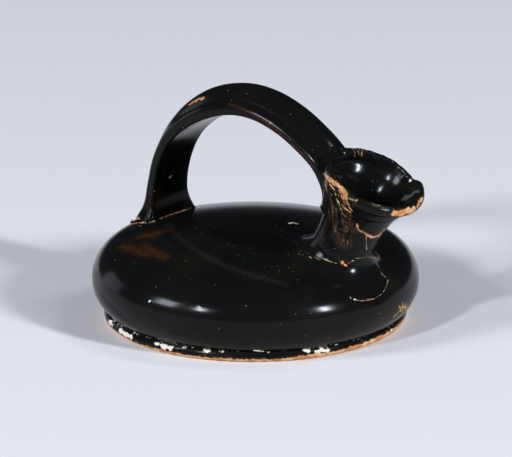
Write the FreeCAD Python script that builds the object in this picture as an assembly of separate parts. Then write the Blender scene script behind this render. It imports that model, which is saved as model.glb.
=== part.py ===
"""Black-gloss askos: a low, squat oil flask of fired clay, made in one piece.

A flattened body stands on a low ring foot. A slanting spout with a wide, open mouth rises from
one end of the shoulder, and a strap handle arches over the body from the far shoulder to the back
of the mouth. Lengths are in millimetres. The origin is the centre of the circle on which the foot
rests, +Z is up and +X points to the spout, so the handle's plane is Y = 0.
"""
import FreeCAD, Part

import math
import os

from FreeCAD import Base

# Body: a shallow dome and a tight, round shoulder, thrown on the wheel and leaning a little.
BODY_RADIUS = 45.0
BODY_HEIGHT = 26.3
WAIST_HEIGHT = 11.25
SHOULDER_ROUND = 9.9
UNDERSIDE_LIFT = 1.15
UNDERSIDE_ROUND = WAIST_HEIGHT - UNDERSIDE_LIFT
WALL = 3.0
FLOOR_THICKNESS = 3.4
LEAN_DEGREES = 0.72

# Foot: a low ring set in from the body's widest line, with a worn edge and a shallow recess inside.
FOOT_INSET = 3.3
FOOT_RADIUS = BODY_RADIUS - FOOT_INSET
FOOT_HEIGHT = 3.4
FOOT_RECESS = 2.0
FOOT_RING_WIDTH = 5.6
FOOT_EDGE_ROUND = 1.1
FOOT_BULGE_HEIGHT = 1.53
FOOT_JOIN = 0.8

# Spout: its axis slants outwards from a root inside the shoulder. Depths are below the mouth.
SPOUT_SETBACK = 17.27
SPOUT_ROOT_X = BODY_RADIUS - SPOUT_SETBACK
SPOUT_SINK = 7.76
SPOUT_ROOT_Z = BODY_HEIGHT - SPOUT_SINK
SPOUT_TILT = 26.0
SPOUT_LENGTH = 33.0
SPOUT_FOOT_RADIUS = 10.6
SPOUT_FILLET = 5.0
NECK_RADIUS = 8.3
NECK_DEPTH = 0.62 * SPOUT_LENGTH
BORE_RADIUS = 5.9
BORE_FOOT_RADIUS = 9.6
BOWL_RADIUS = 11.9
BOWL_DEPTH = 6.6
BOWL_FOOT_SHARE = 0.52
BOWL_MIDDLE_SHARE = 0.63
BOWL_MIDDLE_DEPTH = 3.63
RIM_WALL = 1.0
RIM_RADIUS = BOWL_RADIUS + RIM_WALL
RIM_DEPTH = 4.2
RIM_WIDEST_DEPTH = 1.68
RIM_TAPER = 0.6
RIM_ROUND = 0.9
CLEARANCE_ABOVE_MOUTH = 6.0

# Lip: what is left of it in front, and a lower stretch at the back where the handle joins it.
# Angles are about the spout's axis, 0 at the front. The drop is how far the crest lies below the rim.
LIP_REACH = 3.1
LIP_RADIUS = BOWL_RADIUS + LIP_REACH
LIP_DEPTH = 3.4
LIP_OVERLAP = 0.5
LIP_TOP_WIDTH = 1.5
LIP_INNER_FALL = 0.9
LIP_EDGE_ROUND = 0.4
LIP_UNDER_WIDTH = 1.0
LIP_UNDER_RISE = 0.2
LIP_UNDERCUT = 1.2
FRONT_LIP = (-68.0, 62.0)
BACK_LIP = (162.0, 210.0)
BACK_LIP_SETBACK = 0.75
BACK_LIP_DROP = 1.2

# Handle: a strap, flat inside and crowned outside, from inside the far shoulder to inside the neck.
STRAP_WIDTH = 14.5
STRAP_EDGE = 2.8
STRAP_INNER_ROUND = 0.7
STRAP_OUTER_ROUND = 1.0
STRAP_CORNER_WIDTH = 1.6
STRAP_CORNER_BULGE = 0.45
CROWN_FOOT_SHARE = 0.25
STRAP_ROOT_INSET = 9.0
STRAP_ROOT_SINK = 11.3
STRAP_END_BEHIND_MOUTH = 11.2
STRAP_END_BELOW_MOUTH = 13.2

# Stations of the strap's inner face, measured along X and up from its root: place, rise, width and
# edge thickness as shares, and height of the crown.
STRAP_STATIONS = (
    (0.0, 0.0, 1.30, 1.40, 3.0),
    (3.4, 6.5, 1.20, 1.40, 2.8),
    (4.7, 11.5, 1.07, 1.15, 2.5),
    (5.4, 18.0, 1.00, 1.00, 2.3),
    (7.4, 25.0, 1.00, 1.00, 2.5),
    (11.2, 31.4, 1.00, 1.03, 3.1),
    (17.0, 36.4, 1.00, 1.03, 4.2),
    (24.5, 40.5, 1.00, 1.00, 4.9),
    (33.0, 43.1, 1.00, 0.93, 4.9),
    (41.0, 43.3, 1.00, 0.86, 4.7),
    (49.0, 41.3, 1.00, 0.82, 4.4),
    (56.0, 37.9, 1.00, 0.82, 4.0),
    (61.8, 33.8, 0.98, 0.90, 3.6),
    (64.6, 29.4, 0.93, 1.00, 3.2),
    (65.7, 24.6, 0.84, 0.95, 2.6),
    (67.0, 20.0, 0.70, 0.90, 2.0),
)

# Angle at which turned forms have their seam: on the flask's side, clear of spout and handle.
SIDE = -90.0

# Distance under which an edge counts as lying on a surface.
TOUCHING = 0.001


def point(x, z, y=0.0):
    """A point given by its X and Z, on the handle's plane unless Y is given."""
    return Base.Vector(x, y, z)


def arc_edge(centre_x, centre_z, radius, start, end):
    """An arc in the XZ plane about a centre, from one angle to another in degrees."""
    def at(angle):
        turn = math.radians(angle)
        return point(centre_x + radius * math.cos(turn), centre_z + radius * math.sin(turn))
    return Part.Arc(at(start), at(0.5 * (start + end)), at(end)).toShape()


def line_edge(start, end):
    """A straight edge between two points."""
    return Part.LineSegment(start, end).toShape()


def curve_edge(points):
    """A smooth curve through a few points in the XZ plane."""
    curve = Part.BSplineCurve()
    curve.interpolate([point(x, z) for x, z in points])
    return curve.toShape()


def meeting_arc(waist_x, waist_z, end_x, end_z):
    """An arc in the XZ plane that leaves a waist square to the axis and ends at a wider point."""
    wider = end_x - waist_x
    radius = (wider ** 2 + (end_z - waist_z) ** 2) / (2 * wider)
    middle_z = 0.5 * (waist_z + end_z)
    middle_x = waist_x + radius - math.sqrt(radius ** 2 - (middle_z - waist_z) ** 2)
    return Part.Arc(point(waist_x, waist_z), point(middle_x, middle_z), point(end_x, end_z)).toShape()


def turned(edges, seam=0.0):
    """A solid turned about the Z axis from a closed half profile, with its seam at an angle."""
    face = Part.Face(Part.Wire(edges))
    face.rotate(Base.Vector(0, 0, 0), Base.Vector(0, 0, 1), seam)
    return face.revolve(Base.Vector(0, 0, 0), Base.Vector(0, 0, 1), 360)


def flattened_shell(inset, floor_z):
    """The body's turned form, moved in by an inset: a dome, a round shoulder and a flat floor.

    The dome and both rounds touch without a corner. The dome's radius follows from the body's
    height and the shoulder's round.
    """
    shoulder_x = BODY_RADIUS - SHOULDER_ROUND
    rise = BODY_HEIGHT - WAIST_HEIGHT
    dome = (shoulder_x ** 2 + rise ** 2 - SHOULDER_ROUND ** 2) / (2 * (rise - SHOULDER_ROUND))
    dome_z = BODY_HEIGHT - dome
    meeting = math.degrees(math.atan2(WAIST_HEIGHT - dome_z, shoulder_x))
    underside_x = BODY_RADIUS - UNDERSIDE_ROUND
    underside = UNDERSIDE_ROUND - inset
    floor_angle = -math.degrees(math.asin((WAIST_HEIGHT - floor_z) / underside))
    floor_x = underside_x + underside * math.cos(math.radians(floor_angle))
    top = point(0, BODY_HEIGHT - inset)
    return turned([
        arc_edge(0, dome_z, dome - inset, 90, meeting),
        arc_edge(shoulder_x, WAIST_HEIGHT, SHOULDER_ROUND - inset, meeting, 0),
        arc_edge(underside_x, WAIST_HEIGHT, underside, 0, floor_angle),
        line_edge(point(floor_x, floor_z), point(0, floor_z)),
        line_edge(point(0, floor_z), top),
    ], seam=SIDE)


def leaned(solid):
    """Tip a turned solid towards the spout about the top of the foot."""
    tipped = solid.copy()
    tipped.rotate(point(0, FOOT_HEIGHT), Base.Vector(0, 1, 0), LEAN_DEGREES)
    return tipped


def foot():
    """The ring foot with its rounded edge, its flat resting ring and its recessed underside."""
    inner = FOOT_RADIUS - FOOT_RING_WIDTH
    outer = FOOT_RADIUS - FOOT_EDGE_ROUND
    recess_edge = inner - FOOT_RECESS
    return turned([
        line_edge(point(0, FOOT_RECESS), point(recess_edge, FOOT_RECESS)),
        arc_edge(recess_edge, 0, FOOT_RECESS, 90, 0),
        line_edge(point(inner, 0), point(outer, 0)),
        Part.Arc(
            point(outer, 0), point(FOOT_RADIUS, FOOT_BULGE_HEIGHT), point(outer, FOOT_HEIGHT)
        ).toShape(),
        line_edge(point(outer, FOOT_HEIGHT), point(0, FOOT_HEIGHT)),
        line_edge(point(0, FOOT_HEIGHT), point(0, FOOT_RECESS)),
    ])


def mouth():
    """The middle of the mouth, up the slanting axis from the root inside the shoulder."""
    tilt = math.radians(SPOUT_TILT)
    return point(SPOUT_ROOT_X + SPOUT_LENGTH * math.sin(tilt), SPOUT_ROOT_Z + SPOUT_LENGTH * math.cos(tilt))


def on_spout(solid):
    """Move a solid turned about Z, with its mouth at the origin, onto the slanting spout axis."""
    placed = solid.copy()
    placed.rotate(Base.Vector(0, 0, 0), Base.Vector(0, 1, 0), SPOUT_TILT)
    placed.translate(mouth())
    return placed


def spout():
    """The spout's outside: flared into the shoulder, drawn in at the neck, open at the mouth."""
    rim_top = point(RIM_RADIUS - RIM_ROUND, 0)
    rim_foot = point(RIM_RADIUS - RIM_TAPER, -RIM_DEPTH)
    return on_spout(turned([
        meeting_arc(NECK_RADIUS, -NECK_DEPTH, SPOUT_FOOT_RADIUS, -SPOUT_LENGTH),
        meeting_arc(NECK_RADIUS, -NECK_DEPTH, rim_foot.x, rim_foot.z),
        Part.Arc(rim_foot, point(RIM_RADIUS, -RIM_WIDEST_DEPTH), rim_top).toShape(),
        line_edge(rim_top, point(0, 0)),
        line_edge(point(0, 0), point(0, -SPOUT_LENGTH)),
        line_edge(point(0, -SPOUT_LENGTH), point(SPOUT_FOOT_RADIUS, -SPOUT_LENGTH)),
    ], seam=SIDE))


def bore():
    """The way from the mouth's bowl through the neck, widening again into the body."""
    above = CLEARANCE_ABOVE_MOUTH
    waist = 0.5 * SPOUT_LENGTH
    bowl_foot = BORE_RADIUS + BOWL_FOOT_SHARE * (BOWL_RADIUS - BORE_RADIUS)
    bowl_middle = bowl_foot + BOWL_MIDDLE_SHARE * (BOWL_RADIUS - bowl_foot)
    return on_spout(turned([
        meeting_arc(BORE_RADIUS, -waist, BORE_FOOT_RADIUS, -SPOUT_LENGTH),
        meeting_arc(BORE_RADIUS, -waist, bowl_foot, -BOWL_DEPTH),
        Part.Arc(
            point(bowl_foot, -BOWL_DEPTH), point(bowl_middle, -BOWL_MIDDLE_DEPTH), point(BOWL_RADIUS, 0)
        ).toShape(),
        line_edge(point(BOWL_RADIUS, 0), point(BOWL_RADIUS, above)),
        line_edge(point(BOWL_RADIUS, above), point(0, above)),
        line_edge(point(0, above), point(0, -SPOUT_LENGTH)),
        line_edge(point(0, -SPOUT_LENGTH), point(BORE_FOOT_RADIUS, -SPOUT_LENGTH)),
    ], seam=SIDE))


def lip(radius, angles, drop):
    """A stretch of rounded lip that has not broken away, ended by flat breaks."""
    inside = BOWL_RADIUS - LIP_OVERLAP
    top = -drop
    under = top - LIP_DEPTH
    profile = Part.Face(Part.Wire([
        curve_edge([
            (inside, under - LIP_UNDERCUT),
            (radius - LIP_UNDER_WIDTH, under + LIP_UNDER_RISE),
            (radius, 0.5 * (top + under)),
            (radius - LIP_EDGE_ROUND, top - LIP_EDGE_ROUND),
            (radius - LIP_TOP_WIDTH, top),
            (inside, top - LIP_INNER_FALL),
        ]),
        line_edge(point(inside, top - LIP_INNER_FALL), point(inside, under - LIP_UNDERCUT)),
    ]))
    profile.rotate(Base.Vector(0, 0, 0), Base.Vector(0, 0, 1), angles[0])
    ring = profile.revolve(Base.Vector(0, 0, 0), Base.Vector(0, 0, 1), angles[1] - angles[0])
    return on_spout(ring)


def strap_places():
    """The strap's stations as X, Z, width, edge and crown, from its root to its end in the neck.

    The root moves with the body and the end with the mouth. What lies between shares the move.
    """
    root = point(STRAP_ROOT_INSET - BODY_RADIUS, BODY_HEIGHT - STRAP_ROOT_SINK)
    end = mouth() - point(STRAP_END_BEHIND_MOUTH, STRAP_END_BELOW_MOUTH)
    last_along, last_rise = STRAP_STATIONS[-1][:2]
    places = []
    for along, rise, wide, thick, crown in STRAP_STATIONS:
        share = along / last_along
        x = root.x + share * (end.x - root.x)
        z = root.z + rise + share * (end.z - root.z - last_rise)
        places.append((x, z, wide, thick, crown))
    return places


def strap_section(places, index):
    """One closed section of the strap, square to its path, with the crown on the outer side.

    The inner side is flat between two rounded edges. Each outer edge rounds over into the crown.
    """
    x, z, wide, thick, crown = places[index]
    before = places[max(index - 1, 0)]
    after = places[min(index + 1, len(places) - 1)]
    along = point(after[0] - before[0], after[1] - before[1]).normalize()
    outwards = point(-along.z, along.x)
    half = 0.5 * STRAP_WIDTH * wide
    edge = STRAP_EDGE * thick
    inner = STRAP_INNER_ROUND
    outer = STRAP_OUTER_ROUND
    corner = 1 - math.sqrt(0.5)
    shoulder_y = half - STRAP_CORNER_BULGE
    crown_y = half - STRAP_CORNER_WIDTH
    crown_foot = edge + CROWN_FOOT_SHARE * crown

    def at(y, height):
        return point(x, z) + outwards * height + Base.Vector(0, y, 0)

    def rounded_side(s):
        bend = corner * inner
        return [
            Part.Arc(at(s * (half - inner), 0), at(s * (half - bend), bend), at(s * half, inner)).toShape(),
            line_edge(at(s * half, inner), at(s * half, edge - outer)),
            Part.Arc(at(s * half, edge - outer), at(s * shoulder_y, edge), at(s * crown_y, crown_foot)).toShape(),
        ]

    flat = line_edge(at(inner - half, 0), at(half - inner, 0))
    top = Part.Arc(at(crown_y, crown_foot), at(0, edge + crown), at(-crown_y, crown_foot)).toShape()
    return Part.Wire([flat] + rounded_side(1) + [top] + rounded_side(-1)[::-1])


def handle():
    """The strap handle, lofted through its sections."""
    places = strap_places()
    return Part.makeLoft([strap_section(places, index) for index in range(len(places))], True, False)


def lies_on(edge, solid):
    """Whether an edge follows the surface of a solid, tested at points along it."""
    tests = edge.discretize(5)
    return all(solid.Shells[0].distToShape(Part.Vertex(test))[0] < TOUCHING for test in tests)


def filleted_at_shoulder(solid, body, neck):
    """Round the line where the flared spout meets the body's shoulder."""
    seam_line = [
        edge for edge in solid.Edges
        if not edge.Degenerated and lies_on(edge, body) and lies_on(edge, neck)
    ]
    return solid.makeFillet(SPOUT_FILLET, seam_line)


def askos():
    """The whole vessel: one solid, hollow, with the bore open from the mouth into the body."""
    body = leaned(flattened_shell(0, FOOT_HEIGHT - FOOT_JOIN))
    neck = spout()
    outside = filleted_at_shoulder(body.fuse([foot(), neck]).removeSplitter(), body, neck)
    outside = outside.fuse([
        handle(),
        lip(LIP_RADIUS, FRONT_LIP, 0),
        lip(LIP_RADIUS - BACK_LIP_SETBACK, BACK_LIP, BACK_LIP_DROP),
    ])
    cavity = leaned(flattened_shell(WALL, FOOT_RECESS + FLOOR_THICKNESS))
    return outside.cut(cavity.fuse(bore())).removeSplitter()


def main():
    """Write the vessel as one STEP file and print what it measures."""
    os.makedirs("parts", exist_ok=True)
    vessel = askos()
    solids = vessel.Solids
    box = vessel.BoundBox
    print("solids", len(solids), "valid", vessel.isValid(), "volume", round(vessel.Volume, 1))
    print("box", [round(value, 2) for value in (box.XMin, box.XMax, box.YMin, box.YMax, box.ZMin, box.ZMax)])
    solids[0].exportStep("parts/askos.step")


main()
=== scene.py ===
"""Dressed scene of a black-gloss askos, a low oil flask of fired clay made in one piece.

Two surfaces stand for the one clay piece: the vessel's wall, which runs from the floor of the cavity
up through the mouth and down outside to the underside of the foot, and the strap handle. Both are
functions of two parameters on a grid. Lengths are in millimetres until a mesh is made.
"""
import logging
import math
from collections.abc import Callable, Iterable
from dataclasses import dataclass
from enum import Enum

import bpy
import numpy as np
from mathutils import Matrix


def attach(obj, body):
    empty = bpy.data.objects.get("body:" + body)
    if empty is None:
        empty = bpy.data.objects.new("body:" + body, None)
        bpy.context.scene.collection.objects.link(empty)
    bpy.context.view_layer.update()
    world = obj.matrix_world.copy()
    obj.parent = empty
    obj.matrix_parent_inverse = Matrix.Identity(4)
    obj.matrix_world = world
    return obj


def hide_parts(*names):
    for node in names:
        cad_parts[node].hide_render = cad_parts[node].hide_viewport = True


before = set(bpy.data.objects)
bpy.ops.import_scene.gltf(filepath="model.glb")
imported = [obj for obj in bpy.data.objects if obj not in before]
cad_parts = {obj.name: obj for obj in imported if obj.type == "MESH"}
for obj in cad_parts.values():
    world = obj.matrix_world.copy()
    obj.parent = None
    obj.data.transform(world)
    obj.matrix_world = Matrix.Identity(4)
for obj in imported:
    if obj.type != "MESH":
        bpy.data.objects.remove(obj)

LOG = logging.getLogger("askos")
MM = 0.001
Array = np.ndarray
Pair = tuple[float, float]
Triple = tuple[float, float, float]
Outline = tuple[Pair, ...]
Waves = tuple[Triple, ...]
RadiusAt = Callable[[Array], Array]
Socket = bpy.types.NodeSocket


class WearAndReflection(Enum):
    """The kinds of wear that a surface carries, and two painted reflections, named as their mesh attributes
    are.
    """

    # A painted reflection: a soft lighter band across the dome and side.
    PAINTED_BAND = "painted_reflection_band"
    BARE = "bare_clay"
    CRACK = "crack_line"
    DEPOSIT = "pale_deposit"
    GOLD = "gold_scratch"
    PITTED = "pitted_gloss"
    REDDENED = "reddened_gloss"
    RUBBED = "rubbed_edge"
    # A painted reflection: a grey-green sheen on the lip of the mouth.
    PAINTED_SHEEN = "painted_grey_sheen"
    STREAKED = "streaked_gloss"


def arc(centre: Pair, radius: float, start: float, end: float, count: int) -> Array:
    """Points on an arc: the centre plus the radius times the cosine and sine of evenly spaced angles.

    Args:
        centre: Middle of the arc, as distance from the axis and height.
        radius: Radius of the arc.
        start: First angle in degrees.
        end: Last angle in degrees.
        count: Number of points.

    Returns:
        An array of count rows with distance from the axis and height.
    """
    turn = np.radians(np.linspace(start, end, count))
    return np.stack([centre[0] + radius * np.cos(turn), centre[1] + radius * np.sin(turn)], axis=-1)


def level_line(start: float, end: float, height: float, count: int) -> Array:
    """Evenly spaced points on a level line of a half section."""
    return np.stack([np.linspace(start, end, count), np.full(count, height)], axis=-1)


def circles(radius: Array, height: Array | float, angle: Array) -> Array:
    """Positions on level circles round the body's axis."""
    return np.stack(np.broadcast_arrays(radius * np.cos(angle), radius * np.sin(angle), height), axis=-1)


def bent(start: Array, corner: Array, end: Array, share: Array) -> Array:
    """A curve that leaves the start towards a corner and comes from it to the end: a quadratic curve."""
    return start * (1 - share) ** 2 + 2 * corner * share * (1 - share) + end * share ** 2


def smooth_through(stops: Array, count: int) -> Array:
    """A smooth curve through all stops.

    Each stretch is the cubic whose slope at a stop is half the step between that stop's neighbours.

    Args:
        stops: Array of stops by values.
        count: Number of points on the curve, spaced evenly in the stops' numbering.

    Returns:
        Array of count points by values.
    """
    padded = np.concatenate([2 * stops[:1] - stops[1:2], stops, 2 * stops[-1:] - stops[-2:-1]])
    place = np.linspace(0, len(stops) - 1, count)
    index = np.minimum(place.astype(int), len(stops) - 2)
    share = (place - index)[:, None]
    before, first, second, after = (padded[index + step] for step in range(4))
    return 0.5 * (
        2 * first + (second - before) * share
        + (2 * before - 5 * first + 4 * second - after) * share ** 2
        + (3 * first - before - 3 * second + after) * share ** 3
    )


def even_steps(curve: Array, count: int) -> Array:
    """The same curve with its points moved to equal steps along its length."""
    step = np.linalg.norm(np.diff(curve, axis=0), axis=1)
    length = np.concatenate([[0.0], np.cumsum(step)])
    wanted = np.linspace(0, length[-1], count)
    return np.stack([np.interp(wanted, length, column) for column in curve.T], axis=-1)


def eased(value: Array, low: float, high: float) -> Array:
    """A share that rises from 0 at low to 1 at high, level at both ends: 3 times its square less 2 cubes."""
    share = np.clip((value - low) / (high - low), 0, 1)
    return share * share * (3 - 2 * share)


def window(value: Array, rise: Pair, fall: Pair) -> Array:
    """A share that eases from 0 to 1 over the rise and back to 0 over the fall."""
    return eased(value, *rise) * (1 - eased(value, *fall))


def hump(value: Array, middle: float, spread: Array | float) -> Array:
    """A hump of height 1: e to minus the square of the offset from the middle over the spread."""
    return np.exp(-((value - middle) / spread) ** 2)


def ripple(angle: Array, waves: Waves) -> Array:
    """A sum of sines of an angle, each given by its amplitude, count round the circle and phase."""
    return sum(height * np.sin(count * angle + phase) for height, count, phase in waves)


def unit(vectors: Array) -> Array:
    """Vectors along the last axis, made one long."""
    return vectors / np.maximum(np.linalg.norm(vectors, axis=-1, keepdims=True), 1e-9)


def swung(x: Array, z: Array, degrees: float) -> tuple[Array, Array]:
    """Places in the plane of X and Z, turned from Z towards X."""
    turn = math.radians(degrees)
    return x * math.cos(turn) + z * math.sin(turn), z * math.cos(turn) - x * math.sin(turn)


def union(first: Array, second: Array, fillet: float) -> Array:
    """Distance to two joined forms, with a round fillet in the corner between them.

    Within the fillet of both forms it is the fillet less the length of the two shortfalls, otherwise
    the smaller distance.
    """
    inside = fillet - np.hypot(np.maximum(fillet - first, 0), np.maximum(fillet - second, 0))
    return np.where((first < fillet) & (second < fillet), inside, np.minimum(first, second))


@dataclass
class BodyForm:
    """The flattened body: a shallow dome, a round shoulder and a round underside, leaning a little."""

    radius: float = 45.0
    height: float = 26.3
    waist: float = 11.25
    shoulder: float = 9.9
    underside: float = 10.1
    wall: float = 3.0
    lean: float = 0.72
    pivot: float = 3.4

    def dome(self) -> Triple:
        """Radius and centre height of the dome, and the angle in degrees at which the shoulder meets it."""
        flat = self.radius - self.shoulder
        rise = self.height - self.waist
        radius = (flat ** 2 + rise ** 2 - self.shoulder ** 2) / (2 * (rise - self.shoulder))
        centre = self.height - radius
        return radius, centre, math.degrees(math.atan2(self.waist - centre, flat))

    def upper_section(self, inset: float) -> Array:
        """The half section from the middle of the dome out to the waist, moved in by an inset."""
        radius, centre, meeting = self.dome()
        crown = arc((0.0, centre), radius - inset, 90, meeting, 400)
        turn = arc((self.radius - self.shoulder, self.waist), self.shoulder - inset, meeting, 0, 160)
        return even_steps(np.concatenate([crown, turn[1:]]), 1200)

    def lower_section(self, inset: float, end_height: float, count: int) -> Array:
        """The half section from the waist down and in to a height, moved in by an inset."""
        radius = self.underside - inset
        end = -math.degrees(math.asin((self.waist - end_height) / radius))
        return arc((self.radius - self.underside, self.waist), radius, 0, end, count)

    def lean_over(self, points: Array, share: float = 1.0) -> Array:
        """Turn points about the pivot, towards the spout, by a share of the lean. -1 turns them back."""
        x, z = swung(points[..., 0], points[..., 2] - self.pivot, share * self.lean)
        return np.stack([x, points[..., 1], z + self.pivot], axis=-1)

    def mapped(self, plan: Array, inset: float) -> Array:
        """Points on the upper body from a flat map: distance on the map is length along the section.

        Args:
            plan: Map positions, with the last axis of length 2.
            inset: How far inside the outer surface the points lie.

        Returns:
            Positions with the last axis of length 3.
        """
        section = self.upper_section(inset)
        along = np.hypot(plan[..., 0], plan[..., 1])
        share = along / self.upper_length(inset) * (len(section) - 1)
        radius, height = (np.interp(share, np.arange(len(section)), column) for column in section.T)
        scale = radius / np.maximum(along, 1e-6)
        return self.lean_over(np.stack([plan[..., 0] * scale, plan[..., 1] * scale, height], axis=-1))

    def upper_length(self, inset: float) -> float:
        """Length of the upper half section."""
        return float(np.linalg.norm(np.diff(self.upper_section(inset), axis=0), axis=1).sum())

    def distance(self, points: Array, inset: float = 0.0) -> Array:
        """Distance out of the turned body: from the arc of its section that faces the point."""
        x, y, z = np.moveaxis(self.lean_over(points, -1.0), -1, 0)
        out = np.hypot(x, y)
        radius, centre, meeting = self.dome()
        crown = np.hypot(out, z - centre) - radius
        turned, under = (
            np.hypot(out - self.radius + bend, z - self.waist) - bend
            for bend in (self.shoulder, self.underside)
        )
        faces_dome = np.arctan2(z - centre, out) > math.radians(meeting)
        return np.where(z < self.waist, under, np.where(faces_dome, crown, turned)) + inset


@dataclass
class SpoutForm:
    """The slanting spout, in depth below the mouth, distance from its axis and angle from the front."""

    root_x: float = 27.73
    root_z: float = 18.54
    tilt: float = 26.0
    length: float = 33.0
    foot_radius: float = 10.6
    neck_radius: float = 8.3
    neck_depth: float = 20.46
    under_rim_radius: float = 12.3
    under_rim_depth: float = 4.2
    bore_radius: float = 5.9
    bore_foot_radius: float = 9.6
    bowl_foot_radius: float = 9.02
    bowl_depth: float = 6.6

    def mouth(self) -> Pair:
        """X and Z of the middle of the mouth."""
        x, z = swung(0.0, self.length, self.tilt)
        return self.root_x + x, self.root_z + z

    def place(self, radius: Array, angle: Array, depth: Array) -> Array:
        """Positions from spout coordinates: from the mouth's middle, out by the radius and down the axis."""
        mouth_x, mouth_z = self.mouth()
        x, z = swung(radius * np.cos(angle), -depth, self.tilt)
        return np.stack([mouth_x + x, radius * np.sin(angle), mouth_z + z], axis=-1)

    def local(self, points: Array) -> tuple[Array, Array, Array]:
        """Distance from the spout's axis, angle from its front and depth below the mouth."""
        mouth_x, mouth_z = self.mouth()
        ahead, rise = swung(points[..., 0] - mouth_x, points[..., 2] - mouth_z, -self.tilt)
        return np.hypot(ahead, points[..., 1]), np.arctan2(points[..., 1], ahead), -rise

    @staticmethod
    def waisted(depth: Array, waist: Pair, upper: Pair, lower: Pair) -> Array:
        """Radius of a waisted tube: arcs that leave the waist square to the axis and reach two wider ends.

        Args:
            depth: Depths below the mouth.
            waist: Radius and depth of the waist.
            upper: Radius and depth of the upper end.
            lower: Radius and depth of the lower end.

        Returns:
            The radius at each depth.
        """
        def bend(end: Pair) -> float:
            """Radius of the arc from the waist to an end."""
            wider = end[0] - waist[0]
            return (wider ** 2 + (end[1] - waist[1]) ** 2) / (2 * wider)

        reached = np.clip(depth, upper[1], lower[1])
        curve = np.where(reached < waist[1], bend(upper), bend(lower))
        return waist[0] + curve - np.sqrt(curve ** 2 - (reached - waist[1]) ** 2)

    def outer_radius(self, depth: Array) -> Array:
        """Radius of the outside at a depth below the rim."""
        return self.waisted(
            depth, (self.neck_radius, self.neck_depth), (self.under_rim_radius, self.under_rim_depth),
            (self.foot_radius, self.length),
        )

    def bore_wall(self, depth: Array) -> Array:
        """Radius of the bore at a depth below the bowl."""
        return self.waisted(
            depth, (self.bore_radius, 0.5 * self.length), (self.bowl_foot_radius, self.bowl_depth),
            (self.bore_foot_radius, self.length),
        )

    def distance(self, points: Array) -> Array:
        """Distance out of the neck: the gap to its radius, shortened by the slope of its side."""
        radius, _, depth = self.local(points)
        step = 0.05
        slope = (self.outer_radius(depth + step) - self.outer_radius(depth - step)) / (2 * step)
        return (radius - self.outer_radius(depth)) / np.sqrt(1 + slope ** 2)


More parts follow.
